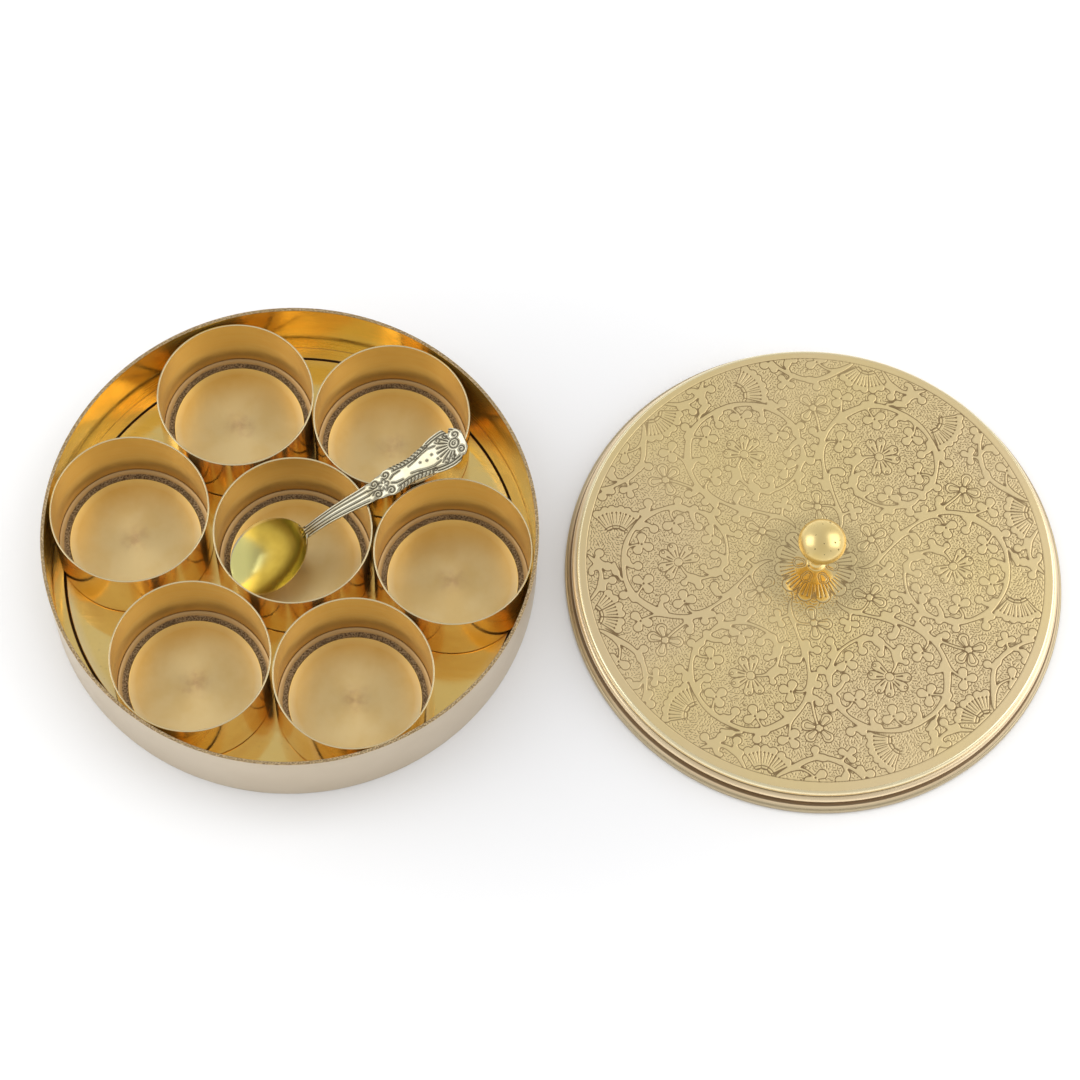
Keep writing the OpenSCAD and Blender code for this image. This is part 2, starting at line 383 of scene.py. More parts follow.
def cupWallFinish(number, centre):  # spun satin inside, mirror outside
    f = Finish(f"cup_{number}_wall_brass", 0.3, Anisotropic=0.35)
    inside, rim = f.mark("inside"), f.mark("rim")
    here = (centre[0] * mm, centre[1] * mm, 0)
    spun = f.noise(34, 4, f.around(here, (1, 1, 16)))
    cloud = f.noise(40, 3)
    grain = f.noise(900, 2, f.around(here, (1, 1, 6)))
    satin = f.clouded(cloud, 0.35, 0.7, "cupInside")
    mirror = f.clouded(cloud, 0.35, 0.7, "cupOutside")
    f.set(Base_Color=f.blend(rim, f.blend(inside, mirror, satin), (0.82, 0.68, 0.40)))
    inner = 0.30 + 0.12 * f.between(spun, 0.35, 0.7)
    outer = 0.06 + 0.12 * f.between(spun, 0.45, 0.8)
    f.set(Metallic=0.86 + 0.14 * inside, Roughness=outer * (1 - inside) + inner * inside)
    f.set(Normal=f.bump(spun * 0.7 + grain * 0.3, 0.34 - 0.12 * inside, 0.05))
    return f.material


def cupFloorFinish(number, centre):  # lathe rings, and a brown darkening in the middle that is painted shade, the dark centre of the turned floor's sheen
    f = Finish(f"cup_{number}_floor_brass", 0.34, Anisotropic=0.55)
    here = (centre[0] * mm, centre[1] * mm, 0)
    radius, _ = sides(f, here)
    ringPlace = {"W": radius * 2.6, "Scale": 1.0, "Detail": 2.0}
    lathe = f.node("ShaderNodeTexNoise", {"noise_dimensions": "1D"}, ringPlace, "Fac")
    cloud = f.noise(55, 3, f.around((here[0] * 0.7, here[1] * 1.3, 0)))
    # painted shade: a patchy brown darkening round the middle stands for the dark centre of the floor's
    # conical sheen
    dark_centre_shade = f.between(radius + f.noise(160, 3) * 9, 3.0, 14.0, 0.55, 0)
    patchy = f.between(f.noise(330, 3), 0.35, 0.65, 0.35, 1)
    floor_with_dark_centre = f.blend(dark_centre_shade * patchy, f.clouded(cloud, 0.35, 0.7, "cupFloor"), (0.58, 0.34, 0.18))
    # lip: a pale cream painted highlight along the raised disc's rounded edge
    lip = f.mark("lip")
    f.set(Base_Color=f.blend(lip, floor_with_dark_centre, (0.97, 0.86, 0.60)))
    f.set(Roughness=0.35 + 0.10 * lathe - 0.12 * lip)
    f.set(Normal=f.bump(lathe, 0.18, 0.02))
    return f.material


def brazeFinish():  # the case's seam, filled with brass and polished over
    f = Finish("brazed_seam", 0.2, metal=0.87)
    cloud = f.noise(200, 3)
    f.set(Base_Color=f.clouded(cloud, 0.35, 0.7, "braze"))
    f.set(Roughness=0.12 + 0.2 * cloud)
    f.set(Normal=f.bump(cloud, 0.2, 0.05))
    return f.material


def solderFinish():  # gritty and dark, with a smoother cove whose brown is painted shade on brass, and a dark line at the joint
    f = Finish("dull_solder", 0.55, metal=0.85)
    grit = f.noise(1300, 3, rough=0.65)
    cloud = f.noise(160, 3)
    cove, joint = f.mark("cove"), f.mark("joint")
    tone = f.clouded(grit, 0.38, 0.62, "solder")
    crust = f.blend(f.between(cloud, 0.45, 0.7, 0, 0.5), tone, (0.10, 0.075, 0.05))
    # the cove's brown is painted shade on the brass where the wall meets the floor
    f.set(Base_Color=f.blend(joint, f.blend(cove, crust, (0.50, 0.33, 0.15)), (0.14, 0.08, 0.035)))
    f.set(Roughness=(0.42 + 0.3 * grit) * (1 - cove) + 0.4 * cove)
    f.set(Normal=f.bump(grit, 0.6 - 0.5 * cove, 0.25))
    return f.material


def plateFinish():  # satin brass, dark in the cuts with oxide and painted shade, and polished round the knob
    f = Finish("engraved_plate_brass", 0.36)
    cut, polished = f.mark("cut"), f.mark("polished")
    cloud = f.noise(10, 3)
    fine = f.noise(420, 3)
    drag = f.noise(200, 2, f.around((0, 0, 0), (1, 0.05, 1), (0, 0, 0.5)))
    worn = f.between(f.noise(11, 2), 0.34, 0.62, 0.62, 1.0)  # the cuts' dark brown, partly oxide and partly painted shade, is lighter in places where the oxide is rubbed out
    oxide_and_shade = f.between(cut, 0.1, 0.8, 0, 0.92) * worn
    f.set(Base_Color=f.blend(oxide_and_shade, f.clouded(cloud, 0.35, 0.68, "plate"), (0.22, 0.14, 0.065)))
    plain = 0.28 + 0.10 * cloud + 0.05 * drag
    f.set(Roughness=plain * (1 - polished) + 0.13 * polished + 0.22 * cut)
    f.set(Normal=f.bump(fine * 0.5 + drag * 0.5, 0.12, 0.03))
    return f.material


# the plate's rounded edge, whose pale tones are a painted highlight
def plateEdgeFinish():
    f = Finish("plate_edge_brass", 0.2)
    cloud, groove = f.noise(30, 3), f.mark("groove")
    rub = f.noise(500, 3)
    # the groove's near-black is painted shade in the corner under the shoulder
    f.set(Base_Color=f.blend(groove, f.clouded(cloud, 0.4, 0.7, "plateEdgeHighlight"), (0.07, 0.04, 0.018)))
    f.set(Roughness=0.16 + 0.14 * cloud + 0.3 * groove)
    f.set(Normal=f.bump(rub, 0.1, 0.02))
    return f.material


def bandFinish():
    f = Finish("lid_band_brass", 0.25)
    groove = f.mark("groove")
    cloud = f.noise(26, 3)
    spun = f.noise(60, 3, f.around((0, 0, 0), (0.4, 0.4, 20)))
    tone = f.blend(f.mark("flange"), f.clouded(cloud, 0.38, 0.7, "bead"), (0.57, 0.465, 0.295))
    # the groove's dark brown: painted shade above and under the bead, and a dark line along the flange
    f.set(Base_Color=f.blend(groove, tone, (0.17, 0.10, 0.05)))
    f.set(Roughness=0.20 + 0.16 * spun + 0.3 * groove)
    f.set(Normal=f.bump(spun, 0.2, 0.03))
    return f.material


def knobFinish():
    f = Finish("knob_brass", 0.1)
    cloud = f.noise(60, 2)
    pits = f.between(f.noise(520, 1), 0.70, 0.735)
    f.set(Base_Color=f.blend(pits * 0.8, f.clouded(cloud, 0.4, 0.7, "knob"), (0.16, 0.10, 0.04)))
    f.set(Roughness=0.25 + 0.08 * cloud + 0.2 * pits)
    f.set(Normal=f.bump(f.noise(300, 3, f.around((0, 0, 0), (1, 1, 6))), 0.05, 0.02))
    return f.material


def fastenerFinish(name, tone, rough):
    f = Finish(name, rough)
    wear = f.noise(500, 3)
    f.set(Base_Color=f.clouded(wear, 0.4, 0.65, tone))
    f.set(Roughness=rough + 0.15 * wear)
    f.set(Normal=f.bump(wear, 0.2, 0.03))
    return f.material


def spoonFinish():  # silver, black in the cuts, with a gilt bowl that is rubbed pale near its tip
    f = Finish("silver_plate", 0.2)
    gilt, dark = f.mark("gilt"), f.mark("recess")
    cloud = f.noise(120, 3)
    gold = f.blend(f.mark("rubbed"), f.clouded(cloud, 0.35, 0.7, "gilt"), (0.97, 0.90, 0.34))
    tone = f.blend(gilt, f.clouded(cloud, 0.4, 0.7, "silver"), gold)
    f.set(Base_Color=f.blend(f.between(dark, 0.15, 0.9, 0, 0.88), tone, (0.045, 0.034, 0.02)))
    f.set(Roughness=0.13 + 0.10 * cloud + 0.35 * dark)
    f.set(Normal=f.bump(f.noise(700, 3), 0.15, 0.02))
    return f.material


case = {  # millimetres
    "foot": 1,  # rounding of the bottom edge
    "edge": 0.25,  # rounding of the sheared rim
    "roll": 0.3,  # how far the rim is rolled in
    "disc": 104.4,  # radius of the disc inside the floor
    "groove": 1.25,  # width of the groove round the disc
    "step": 0.15,  # how far the floor outside the groove lies below the disc
    "around": (900, 420, 720),  # points round the wall, the floor and the seam
}


def makeCaseWall():
    # the wall's section carried round; dents pull it in by up to 0.05 mm, and the rim is ragged
    centre, radius, foot, top = extent("case_wall")
    innerRadius = extent("case_floor")[1]
    corner, edge = case["foot"], case["edge"]
    lipRadius = innerRadius - case["roll"]
    outline = outlineOf(
        [(innerRadius, foot), (radius - corner, foot)],
        arc((radius - corner, foot + corner), corner, -90, 0),
        arc((radius - edge, top - edge), edge, 0, 90, 4),
        arc((lipRadius + edge, top - edge), edge, 90, 180, 4),
        [(lipRadius, top - 0.9), (innerRadius, top - 1.6), (innerRadius, foot)],
        step=5.0)[:-1]

    def wave(r, z, turn):
        share = (z - foot) / (top - foot)
        dents = ripple(turn, 3, (7, 11, 17, 26), 0.05) * np.sin(np.pi * share)
        ragged = (0.05 + ripple(turn, 5, (60, 97, 171, 260), 0.14)) * ease(share, 0.97, 1)
        return r - np.abs(dents), z - np.abs(ragged)

    marks = {
        "inside": lambda r, z, turn: ease(radius - r, 0.9, 1.15),
        "rim": lambda r, z, turn: ease(z, top - 0.4, top - 0.2),
    }
    turned("case_wall_sheet", outline, centre, case["around"][0], "case", caseWallFinish(),
           ["case_wall"], wave=wave, marks=marks)


def makeCaseFloor():
    # the floor's section carried round: the disc, its groove and the lower ring outside it. The disc sags by
    # the sum of two small waves of its radius and turn
    centre, _, foot, _ = extent("case_wall")
    _, innerRadius, _, top = extent("case_floor")
    disc, groove, soft = case["disc"], case["groove"], 0.3
    low, outside = top - case["step"], case["disc"] + case["groove"]
    outline = outlineOf(
        [(0, foot), (innerRadius, foot), (innerRadius, low), (outside, low), (outside - soft, low - soft)],
        [(disc, low - soft), (disc, top - soft)],
        arc((disc - soft, top - soft), soft, 0, 90, 4),
        [(0, top)], step=4.0, hold=0.08)

    def sag(r, z, turn):
        dish = 0.05 * np.sin(r / 9.0 + 2 * np.sin(turn * 2)) + 0.04 * np.cos(r / 15 + 3 * turn)
        return r, z - (z > top - 0.01) * np.abs(dish) * ease(disc - r, 0, 8)

    def inGroove(r, z, turn):
        within = ease(r, disc - 0.05, disc + 0.05) * (1 - ease(r, disc + groove - 0.2, disc + groove + 0.1))
        return within * (z > foot + 0.1)

    marks = {
        "groove": inGroove,
        # lip marks where the floor's finish paints a highlight on the disc's rounded edge
        "lip": lambda r, z, turn: ease(r, disc - 0.5, disc - 0.25) * (z > low + 0.05),
    }
    turned("case_floor_sheet", outline, centre, case["around"][1], "case",
           caseFloorFinish(), ["case_floor"], closed=False, wave=sag, marks=marks)


def makeCaseSeam():
    # the braze in the bottom corner, carried round with an uneven inner edge
    centre = extent("case_wall")[0]
    _, innerRadius, _, floorTop = extent("case_floor")
    leg = extent("case_solder_ring")[3] - floorTop
    low = floorTop - case["step"]
    outline = outlineOf([(innerRadius - leg * 0.5, low), (innerRadius, low)],
                        [(innerRadius, floorTop + leg * 0.6)],
                        [(innerRadius - leg * 0.2, floorTop + leg * 0.1)])

    def rough(r, z, turn):
        return r + ripple(turn, 8, (41, 83, 150, 333), 0.05) * (r < innerRadius - 0.01), z

    turned("case_solder_bead", outline, centre, case["around"][2], "case", brazeFinish(),
           ["case_solder_ring"], wave=rough)


cup = {  # millimetres
    "disc": 30.3,  # radius of the raised disc in the floor
    "rise": 0.6,
    "corner": 0.35,  # rounding of the disc's edge
    "crust": 2.5,  # how wide the rough solder is, outside the disc
    "edge": 0.25,  # rounding of the rim
    "foot": 1.5,  # rounding of the bottom edge
    "around": (240, 240, 384),  # points round the wall, the floor and the seam
}


def makeCupWall(number, body, centre, radius, foot, top, innerRadius):
    # the wall's section carried round; three or more dents pull it in, and small flats mark the outside
    edge, corner = cup["edge"], cup["foot"]
    outline = outlineOf(
        [(innerRadius, foot)],
        arc((radius - corner, foot + 1.3), corner, -60, 0, 6),
        arc((radius - edge, top - edge), edge, 0, 90, 4),
        arc((innerRadius + edge, top - edge), edge, 90, 180, 4),
        [(innerRadius, foot)], step=2.4)[:-1]

    def wave(r, z, turn):
        share = (z - foot) / (top - foot)
        dents = ripple(turn, 20 + number, (3, 5, 8, 13), 0.05) * np.sin(np.pi * share)
        outside = (r > radius - 0.4) * ease(1 - share, 0.03, 0.1)
        flats = ripple(turn, 80 + number, (19, 31, 53), 0.035) * outside
        return r - np.abs(dents) - np.abs(flats), z

    marks = {
        "inside": lambda r, z, turn: ease(radius - r, 0.3, 0.7),
        "rim": lambda r, z, turn: ease(z, top - 0.28, top - 0.1),
    }
    turned(f"{body}_wall_sheet", outline, centre, cup["around"][0], body,
           cupWallFinish(number, centre), [f"{body}_wall"], wave=wave, marks=marks)


def makeCupFloor(number, body, centre, foot, step, innerRadius):
    # the floor's section carried round: a sheet with a raised disc
    disc, corner, high = cup["disc"], cup["corner"], step + cup["rise"]
    outline = outlineOf(
        [(0, foot), (innerRadius, foot), (innerRadius, step), (disc, step), (disc, high - corner)],
        arc((disc - corner, high - corner), corner, 0, 90, 5), [(0, high)], step=3.0, hold=0.06)
    # lip marks where the floor's finish paints a highlight on the disc's rounded edge
    marks = {"lip": lambda r, z, turn: ease(r, disc - 0.55, disc - 0.3) * (z > step + 0.02)}
    turned(f"{body}_floor_disc", outline, centre, cup["around"][1], body,
           cupFloorFinish(number, centre), [f"{body}_floor"], closed=False, marks=marks)


def makeCupSeam(number, body, centre, step, innerRadius, solder):
    # the solder's section carried round: a rough crust beside the disc and a smoother cove up the wall. The
    # crust is lumpy in height, and its outer edge wanders
    disc, crust = cup["disc"], cup["disc"] + cup["crust"]
    outline = outlineOf(
        [(disc, step), (innerRadius, step), (innerRadius, step + 1), (innerRadius - 0.4, step + 0.66)],
        [(innerRadius - 1.2, step + 0.40), (crust + 0.6, step + 0.30), (crust, step + 0.24)],
        [(disc, step + 0.16)], step=0.8, hold=0.05)

    def lumps(r, z, turn):
        up = ripple(turn, 40 + number, (37, 71, 113, 190, 288), 0.05)
        climb = ripple(turn, 60 + number, (5, 11, 23, 47), 0.10)
        free = ease(z, step + 0.05, step + 0.15) * (1 - ease(r, crust - 0.1, crust + 0.3))
        wander = ease(r, disc + 0.6, crust) * (1 - ease(r, crust + 1, innerRadius - 0.5))
        return r + 2.5 * climb * wander, z - np.abs(up) * free

    marks = {
        # cove marks where the solder's finish paints shade at the foot of the wall
        "cove": lambda r, z, turn: ease(r, crust - 0.1, crust + 0.25),
        "joint": lambda r, z, turn: ease(r, innerRadius - 0.45, innerRadius - 0.15),
    }
    turned(f"{body}_solder_seam", outline, centre, cup["around"][2], body, solder, [f"{body}_seam"],
           wave=lumps, marks=marks)


def makeCup(number, solder):
    body = f"cup_{number}"
    centre, radius, foot, top = extent(f"{body}_wall")
    innerRadius = extent(f"{body}_floor")[1]
    step = foot + radius - innerRadius
    makeCupWall(number, body, centre, radius, foot, top, innerRadius)
    makeCupFloor(number, body, centre, foot, step, innerRadius)
    makeCupSeam(number, body, centre, step, innerRadius, solder)


lidEdge = {  # millimetres
    "sheet": 1.0,  # the plate's thickness
    "shoulder": 1.4,  # rounding of the plate's edge
    "bead": 1.7,  # radius of the bead round the band
    "slack": 0.8,  # between the case's wall and the flange that goes over it
    "around": (600, 600, 480),  # points round the shoulder, the band and the solder
}


def makeShoulder():
    # the section of the plate's turned-down edge carried round
    centre, radius, lip, top = extent("lid_plate")
    sheet, shoulder = lidEdge["sheet"], lidEdge["shoulder"]
    inner, under = radius - shoulder, top - sheet
    outline = outlineOf(
        [(inner, under), (radius - 1.6, under), (radius - sheet, under - 0.6)],
        [(radius - sheet, lip), (radius, lip)],
        arc((inner, top - shoulder), shoulder, 0, 90, 12), [(inner, under)], step=0.6)[:-1]

    def groove(r, z, turn):  # painted shade in the corner where the plate meets the band
        return ease(r, radius - 0.4, radius - 0.1) * (1 - ease(z, lip + 0.1, lip + 0.45))

    turned("plate_shoulder", outline, centre, lidEdge["around"][0], "lid",
           plateEdgeFinish(), ["lid_plate"], marks={"groove": groove})


def makeBand():
    # the band's section carried round: the bead, the step, the flange, and the rebate for the case's rim
    centre, radius, lip, _ = extent("lid_plate")
    flange = extent("lid_band")[1]
    caseInner = extent("case_floor")[1]
    hook = extent("case_wall")[1] + lidEdge["slack"]
    outline = outlineOf(
        [(radius - 1, lip), (radius - 0.2, lip), (radius - 0.5, lip - 0.4)],
        arc((radius + 0.2, lip - 2.2), lidEdge["bead"], 90, -60, 14),
        [(radius + 0.8, 5.4), (radius + 0.8, 4.9), (hook - 0.1, 4.7)],
        arc((hook - 0.1, 4.2), 0.5, 90, 0, 6),
        [(flange - 0.9, 3.1)],
        arc((flange - 0.9, 2.2), 0.9, 90, 0, 8),
        arc((flange - 0.7, 0.7), 0.7, 0, -90, 8),
        [(hook + 0.4, 0), (hook, 0.4), (hook, 3.4), (caseInner, 3.9), (caseInner - 0.6, 4.6)],
        [(caseInner - 0.6, 6), (radius - 0.4, 7), (radius - 0.4, 8.6), (radius - 1, 9.3), (radius - 1, lip)],
        step=0.9, hold=0.06)[:-1]

    def groove(r, z, turn):  # painted shade above the bead and under it, and a dark line along the middle of the flange's edge
        above = ease(z, lip - 0.5, lip - 0.25) * ease(r, radius - 1.2, radius - 0.9)
        below = ease(z, 2.7, 3.0) * (1 - ease(z, 6.2, 6.8)) * ease(r, radius + 0.2, radius + 0.6)
        below = 0.85 * below * (1 - ease(r, hook + 0.1, hook + 0.55))
        middle = ease(z, 1.35, 1.55) * (1 - ease(z, 1.75, 1.95)) * ease(r, flange - 0.5, flange - 0.3)
        return np.maximum(np.maximum(above, below), 0.8 * middle)

    def onFlange(r, z, turn):
        return ease(r, hook + 0.2, hook + 0.6) * (1 - ease(z, 3.2, 3.6))

    turned("lid_band_ring", outline, centre, lidEdge["around"][1], "lid", bandFinish(),
           ["lid_band"], marks={"groove": groove, "flange": onFlange})


def makeLidSolder(solder):
    # a three-sided fillet carried round, under the plate where it meets the band
    centre = extent("lid_plate")[0]
    _, radius, low, high = extent("lid_solder_ring")
    outline = outlineOf([(radius - 1, (low + high) / 2), (radius, low), (radius, high)])
    turned("lid_solder_bead", outline, centre, lidEdge["around"][2], "lid", solder,
           ["lid_solder_ring"])


# the engraving's motifs are in parts of the plate's radius, and all are repeated six times round the centre
chasing = {
    "turn": -1.27,  # degrees
    "centre": (-0.2, 0.7),  # millimetres from the lid's centre
    "pitch": 0.2,  # millimetres between the worked-out points
    "line": 0.23,  # half the width of an outline
    "depth": 0.15,
    "ringLine": 0.955,  # radius of the line round the pattern, in parts of the plate's
    "rings": 400,  # rows of points from the centre to the shoulder
    "dashPitch": 1.42,  # millimetres between the strokes of the matted ground
    "sunk": 0.07,
    "stemWidth": 0.98,  # how much wider the stems are cut than drawn
    "claw": 0.03,  # how far to the side of its bud a neck starts
    "seam": 0.2,  # radians, where the first of the six engraved sectors begins
    "polished": (20, 30),  # millimetres round the knob, over which the polish fades and the cuts deepen
}

# stems as (x, y, half-width) along each: the great spiral, then its branches
stems = [
    [(0.182, 0.004, 0.002), (0.205, 0.008, 0.006), (0.235, 0.026, 0.010), (0.262, 0.056, 0.010),
     (0.290, 0.090, 0.007), (0.315, 0.122, 0.007), (0.335, 0.152, 0.012), (0.356, 0.182, 0.014),
     (0.390, 0.216, 0.008), (0.425, 0.246, 0.009), (0.455, 0.272, 0.016), (0.495, 0.290, 0.012),
     (0.545, 0.298, 0.010), (0.600, 0.296, 0.012), (0.645, 0.282, 0.017), (0.700, 0.255, 0.015),
     (0.740, 0.226, 0.014), (0.768, 0.190, 0.013), (0.786, 0.150, 0.010), (0.797, 0.100, 0.010),
     (0.800, 0.050, 0.012), (0.796, -0.003, 0.012), (0.782, -0.050, 0.010), (0.761, -0.090, 0.010),
     (0.735, -0.125, 0.013), (0.700, -0.155, 0.012), (0.655, -0.180, 0.009), (0.610, -0.192, 0.014),
     (0.560, -0.192, 0.011), (0.510, -0.186, 0.008), (0.470, -0.174, 0.014), (0.435, -0.148, 0.010),
     (0.405, -0.115, 0.010), (0.384, -0.075, 0.007), (0.372, -0.020, 0.007), (0.374, 0.020, 0.008),
     (0.388, 0.055, 0.012), (0.410, 0.082, 0.011), (0.435, 0.102, 0.007), (0.470, 0.115, 0.008),
     (0.505, 0.114, 0.013), (0.535, 0.100, 0.007), (0.558, 0.074, 0.005)],
    [(0.774, -0.576, 0.003), (0.766, -0.540, 0.009), (0.762, -0.480, 0.013), (0.758, -0.420, 0.012),
     (0.766, -0.375, 0.010), (0.784, -0.338, 0.011), (0.808, -0.310, 0.012), (0.832, -0.290, 0.010),
     (0.872, -0.262, 0.008), (0.912, -0.244, 0.009), (0.940, -0.247, 0.003)],
    [(0.922, 0.268, 0.004), (0.908, 0.240, 0.008), (0.892, 0.208, 0.010), (0.886, 0.176, 0.012),
     (0.888, 0.140, 0.009), (0.904, 0.108, 0.009), (0.932, 0.080, 0.009), (0.952, 0.062, 0.003)],
    [(0.838, 0.090, 0.008), (0.824, 0.125, 0.007), (0.800, 0.160, 0.006)],
    [(0.262, 0.056, 0.008), (0.262, 0.085, 0.006), (0.252, 0.108, 0.005), (0.241, 0.124, 0.005)],
    [(0.250, 0.036, 0.007), (0.270, 0.024, 0.006), (0.290, 0.010, 0.006)],
    [(0.350, 0.172, 0.008), (0.380, 0.180, 0.006), (0.408, 0.172, 0.006), (0.426, 0.154, 0.006)],
    [(0.490, 0.292, 0.006), (0.530, 0.330, 0.006), (0.566, 0.366, 0.006), (0.590, 0.395, 0.005)],
    [(0.620, 0.292, 0.007), (0.660, 0.306, 0.006), (0.694, 0.324, 0.005)],
    [(0.735, 0.225, 0.006), (0.724, 0.204, 0.005), (0.712, 0.180, 0.005)],
    [(0.455, 0.272, 0.007), (0.500, 0.268, 0.006), (0.520, 0.246, 0.005)],
    [(0.798, 0.020, 0.006), (0.775, 0.004, 0.005), (0.750, -0.006, 0.005)],
    [(0.610, -0.190, 0.008), (0.622, -0.165, 0.006), (0.610, -0.138, 0.005)],
    [(0.460, -0.166, 0.007), (0.448, -0.135, 0.006), (0.442, -0.104, 0.005)],
    [(0.820, -0.300, 0.007), (0.812, -0.278, 0.006), (0.806, -0.262, 0.006)],
    [(0.848, -0.290, 0.008), (0.880, -0.296, 0.006), (0.904, -0.308, 0.006), (0.902, -0.326, 0.005)],
    [(0.768, -0.485, 0.006), (0.785, -0.452, 0.006), (0.812, -0.432, 0.005), (0.832, -0.424, 0.005)],
]

# round buds: place, radius, and where the neck leaves the stem
buds = [
    (0.616, 0.224, 0.020, 0.640, 0.268), (0.738, 0.090, 0.020, 0.784, 0.096),
    (0.686, -0.085, 0.020, 0.735, -0.112), (0.502, -0.116, 0.020, 0.548, -0.180),
    (0.466, 0.066, 0.016, 0.436, 0.096), (0.424, 0.004, 0.020, 0.376, 0.006),
    (0.476, 0.152, 0.018, 0.480, 0.118), (0.540, 0.144, 0.015, 0.518, 0.114),
    (0.414, 0.142, 0.018, 0.424, 0.156), (0.318, 0.214, 0.019, 0.342, 0.176),
    (0.370, 0.098, 0.017, 0.394, 0.070), (0.332, -0.100, 0.020, 0.386, -0.095),
    (0.432, -0.190, 0.020, 0.462, -0.172), (0.482, -0.232, 0.018, 0.456, -0.250),
    (0.554, -0.260, 0.019, 0.520, -0.262), (0.720, -0.200, 0.021, 0.712, -0.160),
    (0.596, -0.224, 0.019, 0.600, -0.195), (0.864, 0.106, 0.021, 0.836, 0.098),
    (0.838, 0.166, 0.019, 0.882, 0.176), (0.786, 0.228, 0.020, 0.756, 0.212),
    (0.903, 0.050, 0.020, 0.918, 0.088), (0.928, 0.142, 0.013, 0.936, 0.120),
    (0.732, -0.368, 0.019, 0.762, -0.382), (0.914, -0.208, 0.020, 0.908, -0.242),
    (0.886, -0.336, 0.017, 0.900, -0.322),
]

# three-lobed flowers with a dot: place and the lobes' directions in degrees
trefoils = [
    (0.533, 0.226, (31, -159, -75)), (0.708, 0.166, (135, -27, -129)), (0.731, -0.010, (162, 64, -85)),
    (0.604, -0.120, (115, 30, -137)), (0.440, -0.081, (131, 38, -66)), (0.706, 0.334, (170, 75, -40)),
    (0.838, -0.420, (95, -25, -85)),
]
clovers = [(0.294, 0.008, (60, -135, -45)), (0.804, -0.256, (106, 18, -143))]  # three lobes and the stem
loopFlowers = [(0.224, 0.138, (120, 39, -133)), (0.598, 0.408, (77, 178, -10, -68))]
sunflowers = [(0.571, 0.054, (45, -45, -138))]
# fans of strokes: place, foot radius, dot radius, middle direction, directions of the petals from it
fans = [
    (0.916, 0.336, 0.056, 0.113, 199, (-32, 0, 32)),
    (0.840, -0.020, 0.062, 0.122, 274.5, (-28, 0, 28)),
]


class Chaser:
    # keeps two fields over the plate: the signed distance from the raised motifs, negative on them,
    # and the distance from the middle of the cut strokes less half their width, both in millimetres
    def __init__(self, radius):
        self.radius, self.pitch = radius, chasing["pitch"]
        self.size = int(2 * radius / self.pitch) + 3
        self.raised, self.strokes, self.draft = np.full((3, self.size, self.size), 9.0, np.float32)

    def near(self, points, reach):  # the part of the field within reach of some points
        low = ((np.min(points, 0) - reach + self.radius) / self.pitch).astype(int)
        high = ((np.max(points, 0) + reach + self.radius) / self.pitch).astype(int) + 2
        low, high = np.clip(low, 0, self.size), np.clip(high, 0, self.size)
        x = np.arange(low[0], high[0])[None, :] * self.pitch - self.radius
        y = np.arange(low[1], high[1])[:, None] * self.pitch - self.radius
        return (slice(low[1], high[1]), slice(low[0], high[0])), x, y

    def gap(self, start, end, startWidth, endWidth, reach):
        # distance from a stroke whose half-width changes evenly: the distance from the nearest point
        # of its middle line, less the half-width there
        start, end = np.asarray(start, float), np.asarray(end, float)
        window, x, y = self.near([start, end], reach + max(startWidth, endWidth))
        along = end - start
        share = ((x - start[0]) * along[0] + (y - start[1]) * along[1]) / max(along @ along, 1e-9)
        share = np.clip(share, 0, 1)
        away = np.hypot(x - start[0] - share * along[0], y - start[1] - share * along[1])
        return window, away - startWidth - share * (endWidth - startWidth)

    def rod(self, field, start, startWidth, end, endWidth, reach=2.6):
        window, gap = self.gap(start, end, startWidth, endWidth, reach)
        field[window] = np.minimum(field[window], gap)

    def motif(self, rods, soft=1.35):
        # joins a motif of several rods to the raised field. Where the old distance a and the new one b are
        # within soft of each other, the smaller is lowered by (soft - |a - b|) squared / (4 soft), which webs
        # the corners between them
        for start, startWidth, end, endWidth in rods:
            self.rod(self.draft, start, startWidth, end, endWidth)
        window, _, _ = self.near([place for rod in rods for place in (rod[0], rod[2])], 6)
        old, new = self.raised[window], self.draft[window]
        web = np.maximum(soft - np.abs(old - new), 0) ** 2 / (4 * soft)
        self.raised[window] = np.minimum(old, new) - web * (np.minimum(old, new) < 2)
        self.draft[window] = 9.0

    def loop(self, start, end, startWidth, endWidth, inset=0):  # the outline of a rod, drawn as a stroke
        window, gap = self.gap(start, end, startWidth, endWidth, 2)
        self.strokes[window] = np.minimum(self.strokes[window], np.abs(gap + inset) - chasing["line"] * 0.8)


def smoothLine(points, fine=5):  # a Catmull-Rom curve through the points, with fine steps between each pair
    points = np.asarray(points, float)
    padded = np.concatenate([[2 * points[0] - points[1]], points, [2 * points[-1] - points[-2]]])
    t = np.arange(fine)[:, None] / fine
    parts = []
    for a, b, c, d in zip(padded[:-3], padded[1:-2], padded[2:-1], padded[3:]):
        second, third = 2 * a - 5 * b + 4 * c - d, 3 * b - a - 3 * c + d
        parts.append(0.5 * (2 * b + (c - a) * t + second * t**2 + third * t**3))
    return np.concatenate([*parts, points[-1:]])


def heading(degrees):
    return np.array([math.cos(math.radians(degrees)), math.sin(math.radians(degrees))])


